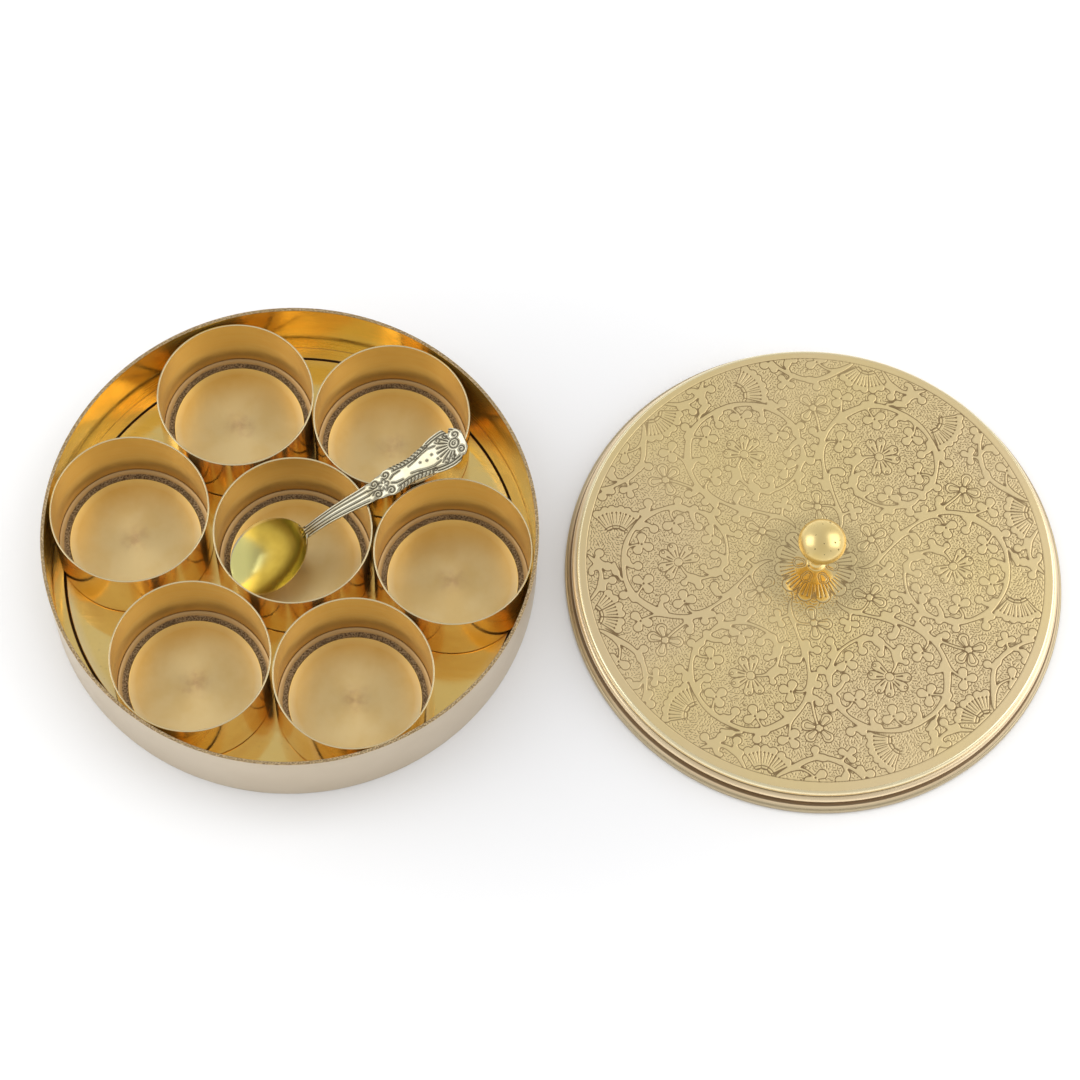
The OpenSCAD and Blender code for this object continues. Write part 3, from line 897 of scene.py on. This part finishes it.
class Repeat:
    # one of the six turns of the pattern: carries a motif's places and half-widths to millimetres on the
    # plate and draws them in the chaser's fields
    def __init__(self, work, turn, scale):
        self.work, self.scale = work, scale
        self.spin = np.array([[math.cos(turn), -math.sin(turn)], [math.sin(turn), math.cos(turn)]]) * scale

    def at(self, place, away=0.0, direction=0.0):
        return self.spin @ (np.asarray(place, float) + away * heading(direction))

    def chain(self, path):  # the rods along a smooth line of (x, y, half-width)
        spots, width = path[:, :2] @ self.spin.T, path[:, 2] * self.scale
        return list(zip(spots[:-1], width[:-1], spots[1:], width[1:]))

    def dot(self, place, size):
        return self.at(place), size * self.scale, self.at(place), size * self.scale

    def lobe(self, place, way, near, nearWidth, far, farWidth):  # a rod that points away from a place
        start, end = self.at(place, near, way), self.at(place, far, way)
        return start, nearWidth * self.scale, end, farWidth * self.scale

    def stroke(self, place, near, far, way, nearWidth, farWidth):
        work = self.work
        work.rod(work.strokes, self.at(place, near, way), nearWidth, self.at(place, far, way), farWidth)

    def loop(self, place, way, near, far, nearWidth, farWidth):
        self.work.loop(self.at(place, near, way), self.at(place, far, way), nearWidth * self.scale,
                       farWidth * self.scale)

    def eye(self, place, size):  # the outline of a flower's middle
        middle = self.at(place)
        self.work.loop(middle, middle, size * self.scale, size * self.scale, -0.1)

    def drawBud(self, number, x, y, size, neckX, neckY):
        # the neck is a claw: it leaves the stem a little to one side, bends, and narrows to the bud
        neck, bud = np.array([neckX, neckY]), np.array([x, y])
        out = (bud - neck) / np.hypot(*(bud - neck))
        aside = np.array([-out[1], out[0]]) * chasing["claw"] * (-1) ** number
        t = np.linspace(0, 1, 7)[:, None]
        pull = neck + 0.25 * aside + 0.008 * out
        bend = (neck - aside) * (1 - t) ** 2 + 2 * pull * t * (1 - t) + bud * t**2
        self.work.motif(self.chain(np.hstack([bend, 0.0165 - 0.0085 * t])) + [self.dot(bud, size)], 1.2)

    def drawLoopFlower(self, place, ways):
        petals = [self.lobe(place, way, 0.015, 0.010, 0.052, 0.0235) for way in ways]
        self.work.motif(petals + [self.dot(place, 0.016)], 0.6)
        for way in ways:
            self.loop(place, way, 0.020, 0.050, 0.007, 0.0125)
        self.eye(place, 0.016)

    def drawSunflower(self, place, ways):  # pairs of petals with a ring in each and strokes between
        petals = []
        for way in ways:
            for side in (-1, 1):
                near, far = self.at(place, 0.020, way + 14 * side), self.at(place, 0.070, way + 19 * side)
                petals.append((near, 0.013 * self.scale, far, 0.0205 * self.scale))
        self.work.motif(petals + [self.dot(place, 0.018)], 0.6)
        for way in ways:
            for side in (-1, 1):
                self.loop(place, way + 16 * side, 0.078, 0.078, 0.0065, 0.0065)
            for lean in (-24, 0, 24):
                self.stroke(place, 0.026, 0.053, way + lean, 0.2, 0.42)
        self.eye(place, 0.018)

    def drawFan(self, place, foot, tip, middle, petals):
        # scalloped petals, strokes that end in dots, and two arcs at the foot
        shape = [self.lobe(place, middle + lean, foot, 0.016, tip - 0.004, 0.030) for lean in petals]
        for lean in petals:
            for side in (-8, 8):
                shape.append(self.lobe(place, middle + lean + side, tip + 0.012, 0.018, tip + 0.016, 0.018))
        self.work.motif(shape, 0.6)
        for lean in petals:
            for part in (-8.5, 0, 8.5):
                way = middle + lean + part
                self.stroke(place, foot + 0.012, tip, way, 0.14, 0.22)
                self.stroke(place, tip, tip, way, 0.5, 0.5)
        ways = middle + np.arange(petals[0] - 22, petals[-1] + 23, 11)
        for away in (foot - 0.012, foot):
            for a, b in zip(ways[:-1], ways[1:]):
                self.work.rod(self.work.strokes, self.at(place, away, a), 0.24, self.at(place, away, b), 0.24)

    def drawRosette(self):  # a sixth of the flower under the knob: two petals, their rays and a double loop
        middle = (0, 0)
        self.work.motif([self.lobe(middle, way, 0.05, 0.03, 0.142, 0.033) for way in (-15, 15)], 0.6)
        for way in np.arange(-26.25, 30, 7.5):
            self.stroke(middle, 0.094, 0.146, way, 0.2, 0.24)
            self.stroke(middle, 0.149, 0.149, way, 0.46, 0.46)
        for wider in (0, 0.008):
            self.loop(middle, 0, 0.060, 0.074, 0.010 + wider, 0.014 + wider)

    def draw(self):
        for stem in stems:
            self.work.motif(self.chain(smoothLine(stem) * (1, 1, chasing["stemWidth"])))
        for number, bud in enumerate(buds):
            self.drawBud(number, *bud)
        for x, y, ways in trefoils:
            self.work.motif([self.lobe((x, y), way, 0, 0.009, 0.031, 0.021) for way in ways], 0.8)
            self.stroke((x, y), 0, 0, 0, 0.55, 0.55)
        for x, y, ways in clovers:
            self.work.motif([self.lobe((x, y), way, 0, 0.010, 0.027, 0.0165) for way in ways], 0.8)
        for x, y, ways in loopFlowers:
            self.drawLoopFlower((x, y), ways)
        for x, y, ways in sunflowers:
            self.drawSunflower((x, y), ways)
        for x, y, *fan in fans:
            self.drawFan((x, y), *fan)
        self.drawRosette()


def chase(radius):
    # works the whole pattern: it is drawn six times, turned by sixty degrees, with a little of the hand's
    # unevenness from one time to the next. It gives how much each place is cut, from 0 to 1, and how deep
    work = Chaser(radius)
    hand = np.random.default_rng(11)
    for number in range(6):
        turn = math.radians(60 * number + chasing["turn"] + hand.uniform(-0.25, 0.25))
        Repeat(work, turn, radius * hand.uniform(0.997, 1.003)).draw()
    window, x, y = work.near([(-radius, -radius), (radius, radius)], 0)
    away, ringLine = np.hypot(x, y), chasing["ringLine"] * radius
    work.strokes[window] = np.minimum(work.strokes[window], np.abs(away - ringLine) - 0.16)
    slopeY, slopeX = np.gradient(work.raised, work.pitch)
    ground = matGround(work, hand, slopeX, slopeY)
    raised, steep = work.raised[window], np.hypot(slopeX, slopeY)[window]
    inField = ease(ringLine - away, -0.3, 0.1)
    outlines = ease(chasing["line"] + 0.12 - np.abs(raised), 0, 0.24) * inField
    strokes = ease(-work.strokes[window] + 0.12, 0, 0.24)
    sharpCorner = ease(0.72 - steep, 0, 0.25) * ease(0.85 - raised, 0, 0.3)
    stops = sharpCorner * (raised > 0) * inField
    matted = ease(-ground[window] + 0.12, 0, 0.26) * inField
    cut = np.maximum.reduce([outlines, strokes, 0.7 * stops, 0.9 * matted])
    depth = chasing["depth"] * np.maximum.reduce([outlines, strokes, stops, 0.75 * matted])
    sunk = ease(raised, 0.1, 0.7) * inField * chasing["sunk"]  # the matted ground lies a little lower
    return cut, depth + sunk


def matGround(work, hand, slopeX, slopeY):
    # the ground between the motifs is filled with short dashes that stand square to the nearest outline:
    # a dash's direction is the slope of the distance field at its middle
    ground = np.full_like(work.raised, 9.0)
    pitch = chasing["dashPitch"]
    reach = chasing["ringLine"] * work.radius - 0.6
    for row, y in enumerate(np.arange(-reach, reach, pitch * 0.8)):
        columns = np.arange(-reach + (row % 2) * pitch / 2, reach, pitch)
        drawn = hand.uniform(-0.3, 0.3, (len(columns), 2))
        lean = hand.normal(0, 0.35, len(columns))
        longness = hand.uniform(0.35, 0.8, len(columns))
        for x, (dx, dy), tilt, half in zip(columns, drawn, lean, longness):
            middle = np.array([x + dx, y + dy])
            i, j = ((middle[::-1] + work.radius) / work.pitch).astype(int)
            if middle @ middle > reach * reach or work.raised[i, j] < 0.6:
                continue
            way = math.atan2(slopeY[i, j], slopeX[i, j]) + tilt
            if work.raised[i, j] > 2.4:
                way = 0.11 * (x + 0.7 * y) + tilt  # open ground far from any motif
            end = half * np.array([math.cos(way), math.sin(way)])
            bend = 0.22 * np.array([-math.sin(way), math.cos(way)])
            work.rod(ground, middle - end, 0.14, middle + bend, 0.22, reach=0.5)
            work.rod(ground, middle + bend, 0.22, middle + end, 0.14, reach=0.5)
    return ground


def makePlate():
    # six engraved sectors make up the flat of the plate. A sector's rows are rings: row i has i + 1 points at
    # equal turns, and each point sinks by the engraving's depth there
    centre, radius, _, top = extent("lid_plate")
    cut, depth = chase(radius)
    finish = plateFinish()
    flat, under = radius - lidEdge["shoulder"], top - lidEdge["sheet"]
    rows = chasing["rings"]
    row = np.repeat(np.arange(rows + 1), np.arange(1, rows + 2))
    first = np.arange(rows + 1) * np.arange(1, rows + 2) // 2
    column = np.arange(len(row)) - first[row]
    away = flat * row / rows
    inner = np.arange(first[rows])
    i, j = row[inner], column[inner]
    below = first[i + 1] + j
    fromInner = np.stack([inner, below, below + 1], -1)
    notLast = j < i
    fromOuter = np.stack([inner[notLast], below[notLast] + 1, inner[notLast] + 1], -1)
    rim = first[rows] + np.arange(rows + 1)
    startSide, endSide = first, first + np.arange(rows + 1)
    for sector in range(6):
        turn = np.pi / 3 * (sector + column / np.maximum(row, 1)) + chasing["seam"]
        x, y = away * np.cos(turn), away * np.sin(turn)
        patternX, patternY = x - chasing["centre"][0], y - chasing["centre"][1]
        polished = 1 - ease(away, *chasing["polished"])
        kept = {"cut": sample(cut, radius, patternX, patternY), "polished": polished}
        sink = sample(depth, radius, patternX, patternY) * ease(flat - away, 0.1, 0.6) * (1 - 0.5 * polished)
        points = np.stack([centre[0] + x, centre[1] + y, top - sink], -1)
        count = len(points)
        lower = points[rim] * (1, 1, 0) + (0, 0, under)
        points = np.concatenate([points, lower, [[centre[0], centre[1], under]]])
        kept = {key: np.concatenate([values, np.zeros(len(lower) + 1)]) for key, values in kept.items()}
        low = count + np.arange(rows + 1)
        hub = np.full(rows, count + rows + 1)
        wall = np.stack([rim[:-1], low[:-1], low[1:], rim[1:]], -1)
        sheet = np.stack([hub, low[1:], low[:-1]], -1)
        near = np.stack([startSide[:-1], np.full(rows, low[0]), startSide[1:]], -1)
        far = np.stack([endSide[1:], np.full(rows, low[-1]), endSide[:-1]], -1)
        tips = np.array([[startSide[0], hub[0], low[0]], [endSide[0], low[-1], hub[0]]])
        faceSets = [fromInner, fromOuter, wall, sheet, near, far, tips]
        addPiece(f"engraved_sector_{sector + 1}", points, faceSets, "lid", finish,
                 ["lid_plate"], kept, flatFrom=len(fromInner) + len(fromOuter))


def sample(field, radius, x, y):  # reads a field at any places, evenly between its four nearest points
    across, up = (x + radius) / chasing["pitch"], (y + radius) / chasing["pitch"]
    j, i = np.floor(across).astype(int), np.floor(up).astype(int)
    j, i = np.clip(j, 0, field.shape[1] - 2), np.clip(i, 0, field.shape[0] - 2)
    s, t = across - j, up - i
    low = field[i, j] * (1 - s) + field[i, j + 1] * s
    high = field[i + 1, j] * (1 - s) + field[i + 1, j + 1] * s
    return low * (1 - t) + high * t


knob = {  # millimetres
    "half": 7.5,  # half the height of the flattened ball
    "stem": 2.1,  # radius of the stem
    "foot": 4,  # radius of the foot on the plate
    "around": 240,  # points round it
}


def makeKnob():
    # the turned section carried round: foot, lower ring, stem, collar, and an ellipse for the ball
    centre, ball, foot, top = extent("knob")
    half, stem, base = knob["half"], knob["stem"], knob["foot"]
    middle = top - half
    bottom = middle - half
    neck = math.degrees(math.acos((stem + 0.7) / ball))
    turn = np.radians(np.linspace(-neck, 90, 60))
    shell = np.stack([ball * np.cos(turn), middle + half * np.sin(turn)], -1)
    shell[-1, 0] = 0
    outline = outlineOf(
        [(0, foot), (base + 0.2, foot)],
        arc((base, foot + 0.5), 0.5, -60, 90, 6),
        [(3, foot + 1.2), (stem + 0.1, foot + 2.2), (stem, foot + 4.6)],
        arc((stem + 0.1, foot + 5.6), 0.7, -80, 80, 8),
        [(stem, foot + 6.8), (stem - 0.1, foot + 9), (stem + 0.1, bottom - 3)],
        arc((stem + 0.4, bottom - 1.6), 0.8, -80, 80, 8),
        shell, step=1.0, hold=0.14)
    turned("knob_turning", outline, centre, knob["around"], "lid", knobFinish(), ["knob"],
           closed=False)


def finishFasteners():  # the washer and the screw under the plate keep their own shape
    finishes = {
        "knob_washer": fastenerFinish("washer_brass", "washer", 0.3),
        "knob_screw": fastenerFinish("screw_steel", "screw", 0.32),
    }
    for node, finish in finishes.items():
        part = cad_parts[node]
        part.data.materials.clear()
        part.data.materials.append(finish)


spoon = {  # millimetres, measured along the ground from the bowl's centre
    "bowl": (-10.6, -2.6),
    "turn": 27.6,  # degrees, where the handle points
    "tip": -18.2,
    "end": 96.6,
    "bowlWidth": 34,
    "bowlDepth": 6.6,
    "thick": 2.2,
    # the middle line's height and the handle's half-width, as (station, value)
    "rise": [(-30, -1.7), (0, 14), (18.5, 23.4), (24.5, 28), (31, 32), (38, 35.2), (47, 38.5), (60, 43.4),
             (68, 46.8), (89, 57), (98, 61), (110, 66)],
    "width": [(16, 2.9), (22, 2.8), (30, 3.1), (40, 3.7), (47, 4.1), (52, 4.7), (56, 5.6), (60, 6.5),
              (64, 6.4), (68, 5.9), (72, 6), (78, 7.3), (83.5, 8.8), (88, 9.3), (92, 8.6), (95, 6.5),
              (96.8, 3.5)],
    "relief": 0.42,  # depth of the cut strokes
    "rope": 1.75,  # pitch of the rope border
}


def along(points, s, soft=0.0):  # reads a list of (station, value), averaged over soft on both sides
    x, y = np.array(points, float).T
    return np.mean([np.interp(s + shift, x, y) for shift in np.linspace(-soft, soft, 7)], 0)


def inBowl(s):  # 1 at the bowl's centre, falling as a parabola to 0 at its tip and its neck
    return np.maximum(0, 1 - (s / spoon["tip"]) ** 2)


def halfWidth(s):  # half the width at a station: an egg-shaped ellipse for the bowl, or the handle's list
    bowl = spoon["bowlWidth"] / 2 * np.sqrt(inBowl(s)) * (1 - 0.004 * s)
    return np.maximum(np.maximum(0.8, bowl), np.where(s < 16, 0, along(spoon["width"], s, 0.8)))


def curl(centre, start, end, fromAngle, toAngle, steps=18):  # a spiral stroke whose radius shrinks evenly
    turn = np.radians(np.linspace(fromAngle, toAngle, steps))
    radius = np.linspace(start, end, steps)
    return np.stack([centre[0] + radius * np.cos(turn), centre[1] + radius * np.sin(turn)], -1)


def handleStrokes():
    # the cut strokes on the handle as (path, half-width), in stations along it and places across it
    strokes = []

    def both(path, half):
        path = np.asarray(path, float)
        strokes.append((path, half))
        strokes.append((path * (1, -1), half))

    def edge(start, end, inset, half, steps=16):  # a line that keeps its distance from the handle's edge
        s = np.linspace(start, end, steps)
        both(np.stack([s, halfWidth(s) - inset], -1), half)

    both([(15, 0.4), (20, 0.7), (35, 1.0), (50, 1.2)], 0.16)  # flutes of the shank
    edge(17, 49, 0.8, 0.16)
    both(curl((53.6, 2.6), 2.1, 0.6, -160, 330), 0.2)  # C-scrolls of the shoulder
    both(curl((59.6, 4.0), 1.9, 0.5, -150, 300), 0.2)
    both([(50, 1.0), (52, 0.6), (54.2, 0.8), (56, 2.2)], 0.16)
    for k in range(5):  # the flower between them
        way = 72 * k
        strokes.append((curl((57.4 + 1.5 * math.cos(math.radians(way)), 1.5 * math.sin(math.radians(way))),
                             0.95, 0.9, way - 130, way + 130, 10), 0.12))
    both([(61, 1.0), (63, 2.1), (66, 2.4)], 0.2)
    edge(63.5, 80.5, 2.5, 0.24)  # the rope border of the waist
    for s in np.arange(62.6, 79.5, spoon["rope"]):
        width = float(halfWidth(np.array(s)))
        both([(s, width - 0.25), (s + 1.1, width - 1.1), (s + 1.5, width - 2.2)], 0.17)
    both(curl((80.2, 6.2), 1.3, 0.4, 180, 500), 0.18)
    edge(81.0, 93.6, 0.85, 0.2)  # the double line round the wide end
    edge(80.0, 92.0, 2.1, 0.26)
    for way in np.linspace(-66, 66, 9):  # the shell of short strokes
        out = heading(180 + way)
        near = np.array([92.0, 0]) + 3.4 * out
        far = np.array([92.0, 0]) + (7.4 + 0.5 * math.cos(math.radians(3 * way))) * out
        strokes.append((np.array([near, far]), 0.24))
    strokes.append((curl((91.9, 0.2), 2.1, 2.1, 0, 360, 24), 0.2))  # the crest
    strokes.append((curl((91.9, 0.2), 1.1, 0.3, 40, 420, 16), 0.18))
    both(curl((93.7, 3.9), 1.6, 0.5, -100, 300), 0.2)
    both(curl((89.7, 5.3), 1.5, 0.5, 60, 400), 0.2)
    both(curl((86.0, 5.6), 1.4, 0.5, 200, 560), 0.18)
    both(curl((74.4, 3.6), 0.9, 0.4, 30, 380), 0.15)
    both([(70.5, 1.9), (73.5, 2.6), (77, 3.9), (80.5, 4.6), (84, 3.9)], 0.16)
    for place in [(75.6, 0.5), (78.6, -0.4), (81.4, 0.9), (83.2, -2.4)]:  # stray dots on the panel
        strokes.append((np.array([place, place], float), 0.22))
    return strokes


def cutDistance(s, w, strokes):  # the distance from the nearest stroke's edge
    gap = np.full(s.shape, 5.0)
    for path, half in strokes:
        for a, b in zip(path[:-1], path[1:]):
            step = b - a
            share = np.clip(((s - a[0]) * step[0] + (w - a[1]) * step[1]) / max(step @ step, 1e-9), 0, 1)
            gap = np.minimum(gap, np.hypot(s - a[0] - share * step[0], w - a[1] - share * step[1]) - half)
    return gap


def edgeCut(s):  # how far the handle's edge is cut in: lobes at the shoulder, scallops along the rope
    scallop = np.abs(np.sin(np.pi * (s - 62.6) / spoon["rope"])) * ease(s, 61.5, 63) * (1 - ease(s, 79, 81))
    lobes = np.abs(np.sin(np.pi * (s - 50.5) / 4.6)) * ease(s, 50, 51.5) * (1 - ease(s, 60, 62))
    return 0.30 * scallop + 0.35 * lobes


def makeSpoon():
    # one shell: a point stands at station s on the middle line, moved across by v times the half-width, and
    # up or down along the line's normal by half the thickness less the hollow of the bowl
    tip, end = spoon["tip"], spoon["end"]
    bowlRows = tip * np.cos(np.radians(np.linspace(4, 144, 110)))
    s = np.concatenate([bowlRows, np.arange(bowlRows[-1] + 0.22, end - 0.05, 0.2), [end]])[:, None]
    across = np.cos(np.linspace(np.pi, 0, 90))
    under = np.cos(np.linspace(0, np.pi, 30))[1:-1]
    v = np.concatenate([across, under])[None, :]
    side = np.concatenate([np.ones(90), -np.ones(28)])[None, :]
    notch = np.exp(-((s - 91.0) ** 2)) * 0.30  # a bite out of each side of the wide end
    w = (halfWidth(s) - edgeCut(s)) * v * np.where(v > 0, 1 - notch, 1 - 0.4 * np.roll(notch, 10, 0))
    middle = along(spoon["rise"], s, 3)
    slope = np.arctan2(along(spoon["rise"], s + 0.5, 3) - along(spoon["rise"], s - 0.5, 3), 1)
    hollow = spoon["bowlDepth"] * inBowl(s) ** 0.8
    thick = np.interp(s, [12, 22], [1, spoon["thick"]])
    dome = 0.35 + 0.65 * np.sqrt(np.maximum(0, 1 - v * v))
    height = -hollow * (1 - v * v) + side * thick / 2 * dome
    worked = ease(s, 14.5, 18) * (side > 0) * (1 - ease(np.abs(v), 0.975, 1))
    gap = cutDistance(s + 0 * w, w, handleStrokes())
    height = height - spoon["relief"] * worked * np.exp(-np.maximum(gap, 0) / 0.32)
    flat = s - height * np.sin(slope)
    turn = math.radians(spoon["turn"])
    x = spoon["bowl"][0] + flat * math.cos(turn) - w * math.sin(turn)
    y = spoon["bowl"][1] + flat * math.sin(turn) + w * math.cos(turn)
    z = middle + height * np.cos(slope)
    rows, columns = z.shape
    points = np.stack([x, y, z], -1).reshape(-1, 3)
    marks = {
        "gilt": ((side > 0) * (1 - ease(s, 14.2, 15.6)) * (1 - ease(np.abs(v), 0.93, 0.96))).ravel(),
        "rubbed": (1 - ease(s - 0.4 * w, -14.5, -5)).ravel(),
        "recess": (worked * ease(0.18 - gap, 0, 0.26)).ravel(),
    }
    ends = [points[:columns].mean(0), points[-columns:].mean(0)]
    points = np.concatenate([points, ends])
    marks = {key: np.append(values, [0, 0]) for key, values in marks.items()}
    j = np.arange(columns)
    first = np.stack([np.full(columns, rows * columns), j, (j + 1) % columns], -1)
    last = (rows - 1) * columns
    final = np.stack([np.full(columns, rows * columns + 1), last + (j + 1) % columns, last + j], -1)
    shell = gridFaces(rows, columns, False, True)[:, ::-1]
    addPiece("chased_spoon", points, [shell, first, final], "spoon", spoonFinish(), ["spoon"],
             marks)


stageFloor = {  # metres
    "half": 6,
    "shade": (0.74, 0.74, 0.75),  # between the case and the lid
    "pale": (0.96, 0.96, 0.96),
    "middle": (0.112, 0, 0),  # where the shade is deepest
    "reach": (0.03, 0.30),  # over which it fades
}


def addFloor():
    f = Finish("pale_floor", 0.6, metal=0.0)
    here = f.around(stageFloor["middle"])
    away = f.node("ShaderNodeVectorMath", {"operation": "LENGTH"}, {0: here}, 1)
    f.set(Base_Color=f.blend(f.between(away, *stageFloor["reach"]), stageFloor["shade"], stageFloor["pale"]))
    mesh, half = bpy.data.meshes.new("floor"), stageFloor["half"]
    corners = [(-half, -half, 0), (half, -half, 0), (half, half, 0), (-half, half, 0)]
    mesh.from_pydata(corners, [], [(0, 1, 2, 3)])
    mesh.materials.append(f.material)
    floor = bpy.data.objects.new("floor", mesh)
    bpy.context.scene.collection.objects.link(floor)


addCamera()
addLight()
addFloor()
print("camera, light and floor set")
makeCaseWall()
makeCaseFloor()
makeCaseSeam()
print("case made")
solder = solderFinish()
for number in range(1, 8):
    makeCup(number, solder)
print("seven cups made")
makeShoulder()
makeBand()
makeLidSolder(solder)
makePlate()
print("lid engraved")
makeKnob()
finishFasteners()
makeSpoon()
print("knob and spoon made")
bpy.context.scene.view_settings.view_transform = "Standard"
